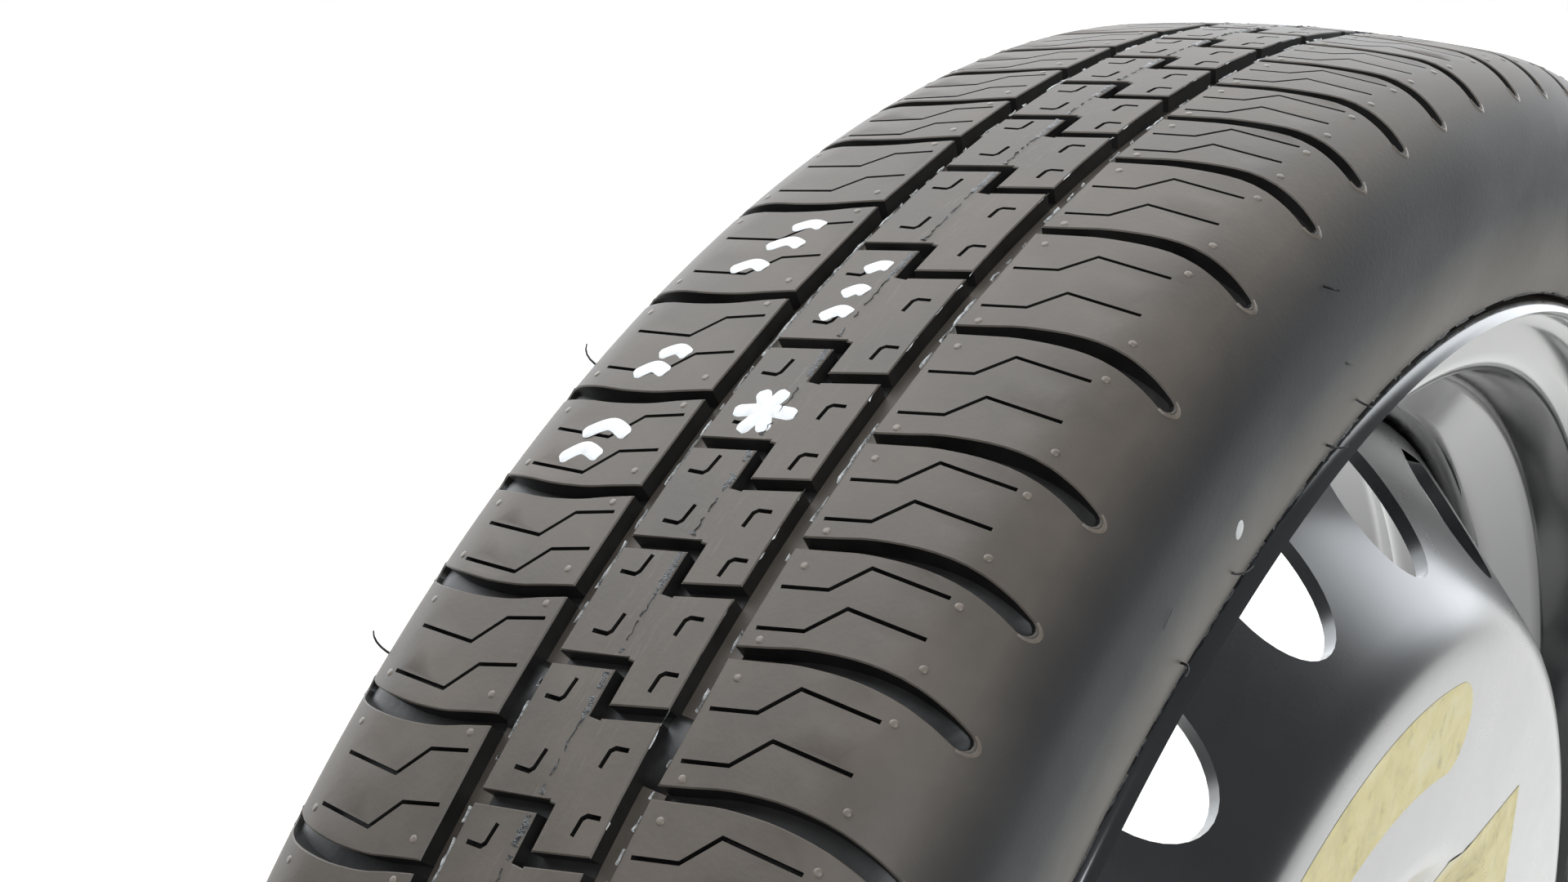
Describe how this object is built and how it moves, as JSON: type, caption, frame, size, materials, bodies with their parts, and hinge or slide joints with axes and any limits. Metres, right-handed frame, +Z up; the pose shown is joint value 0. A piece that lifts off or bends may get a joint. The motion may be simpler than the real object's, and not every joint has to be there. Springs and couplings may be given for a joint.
{
  "type": "spare wheel",
  "caption": "Narrow temporary spare wheel: ribbed and grooved tyre on a black pressed steel rim and vented disc with a central bore, bolt holes and a snap-in air valve.",
  "frame": {"origin": "centre of the wheel, on the axle line in the tyre's middle plane", "axes": "+Y along the axle to the vehicle side, the outer face looks along -Y, +Z up with the valve at the bottom"},
  "size_m": [0.6076, 0.1204, 0.6076],
  "materials": {
    "tyre": "matt rubber with a grey bloom",
    "steel": "gloss black paint",
    "valve_rubber": "matt",
    "brass": "turned",
    "cap_plastic": "satin"
  },
  "bodies": {
    "wheel": {"tyre": "tyre", "rim": "steel", "wheel_disc": "steel", "valve_body": "valve_rubber", "valve_stem": "brass", "core_housing": "brass", "housing_seal": "valve_rubber"},
    "pin": {"core_pin": "brass", "core_seal": "valve_rubber"},
    "cap": {"valve_cap": "cap_plastic", "cap_seal": "valve_rubber"}
  },
  "joints": [
    {"name": "pin_push", "type": "slide", "parent": "wheel", "child": "pin", "axis": [0, 0.7547, -0.6561], "range_m": [0, 0.0016], "stiffness_N_per_m": 1500, "springref_m": -0.002},
    {"name": "cap_off", "type": "slide", "parent": "wheel", "child": "cap", "axis": [0, -0.7547, 0.6561], "range_m": [0, 0.012]}
  ]
}
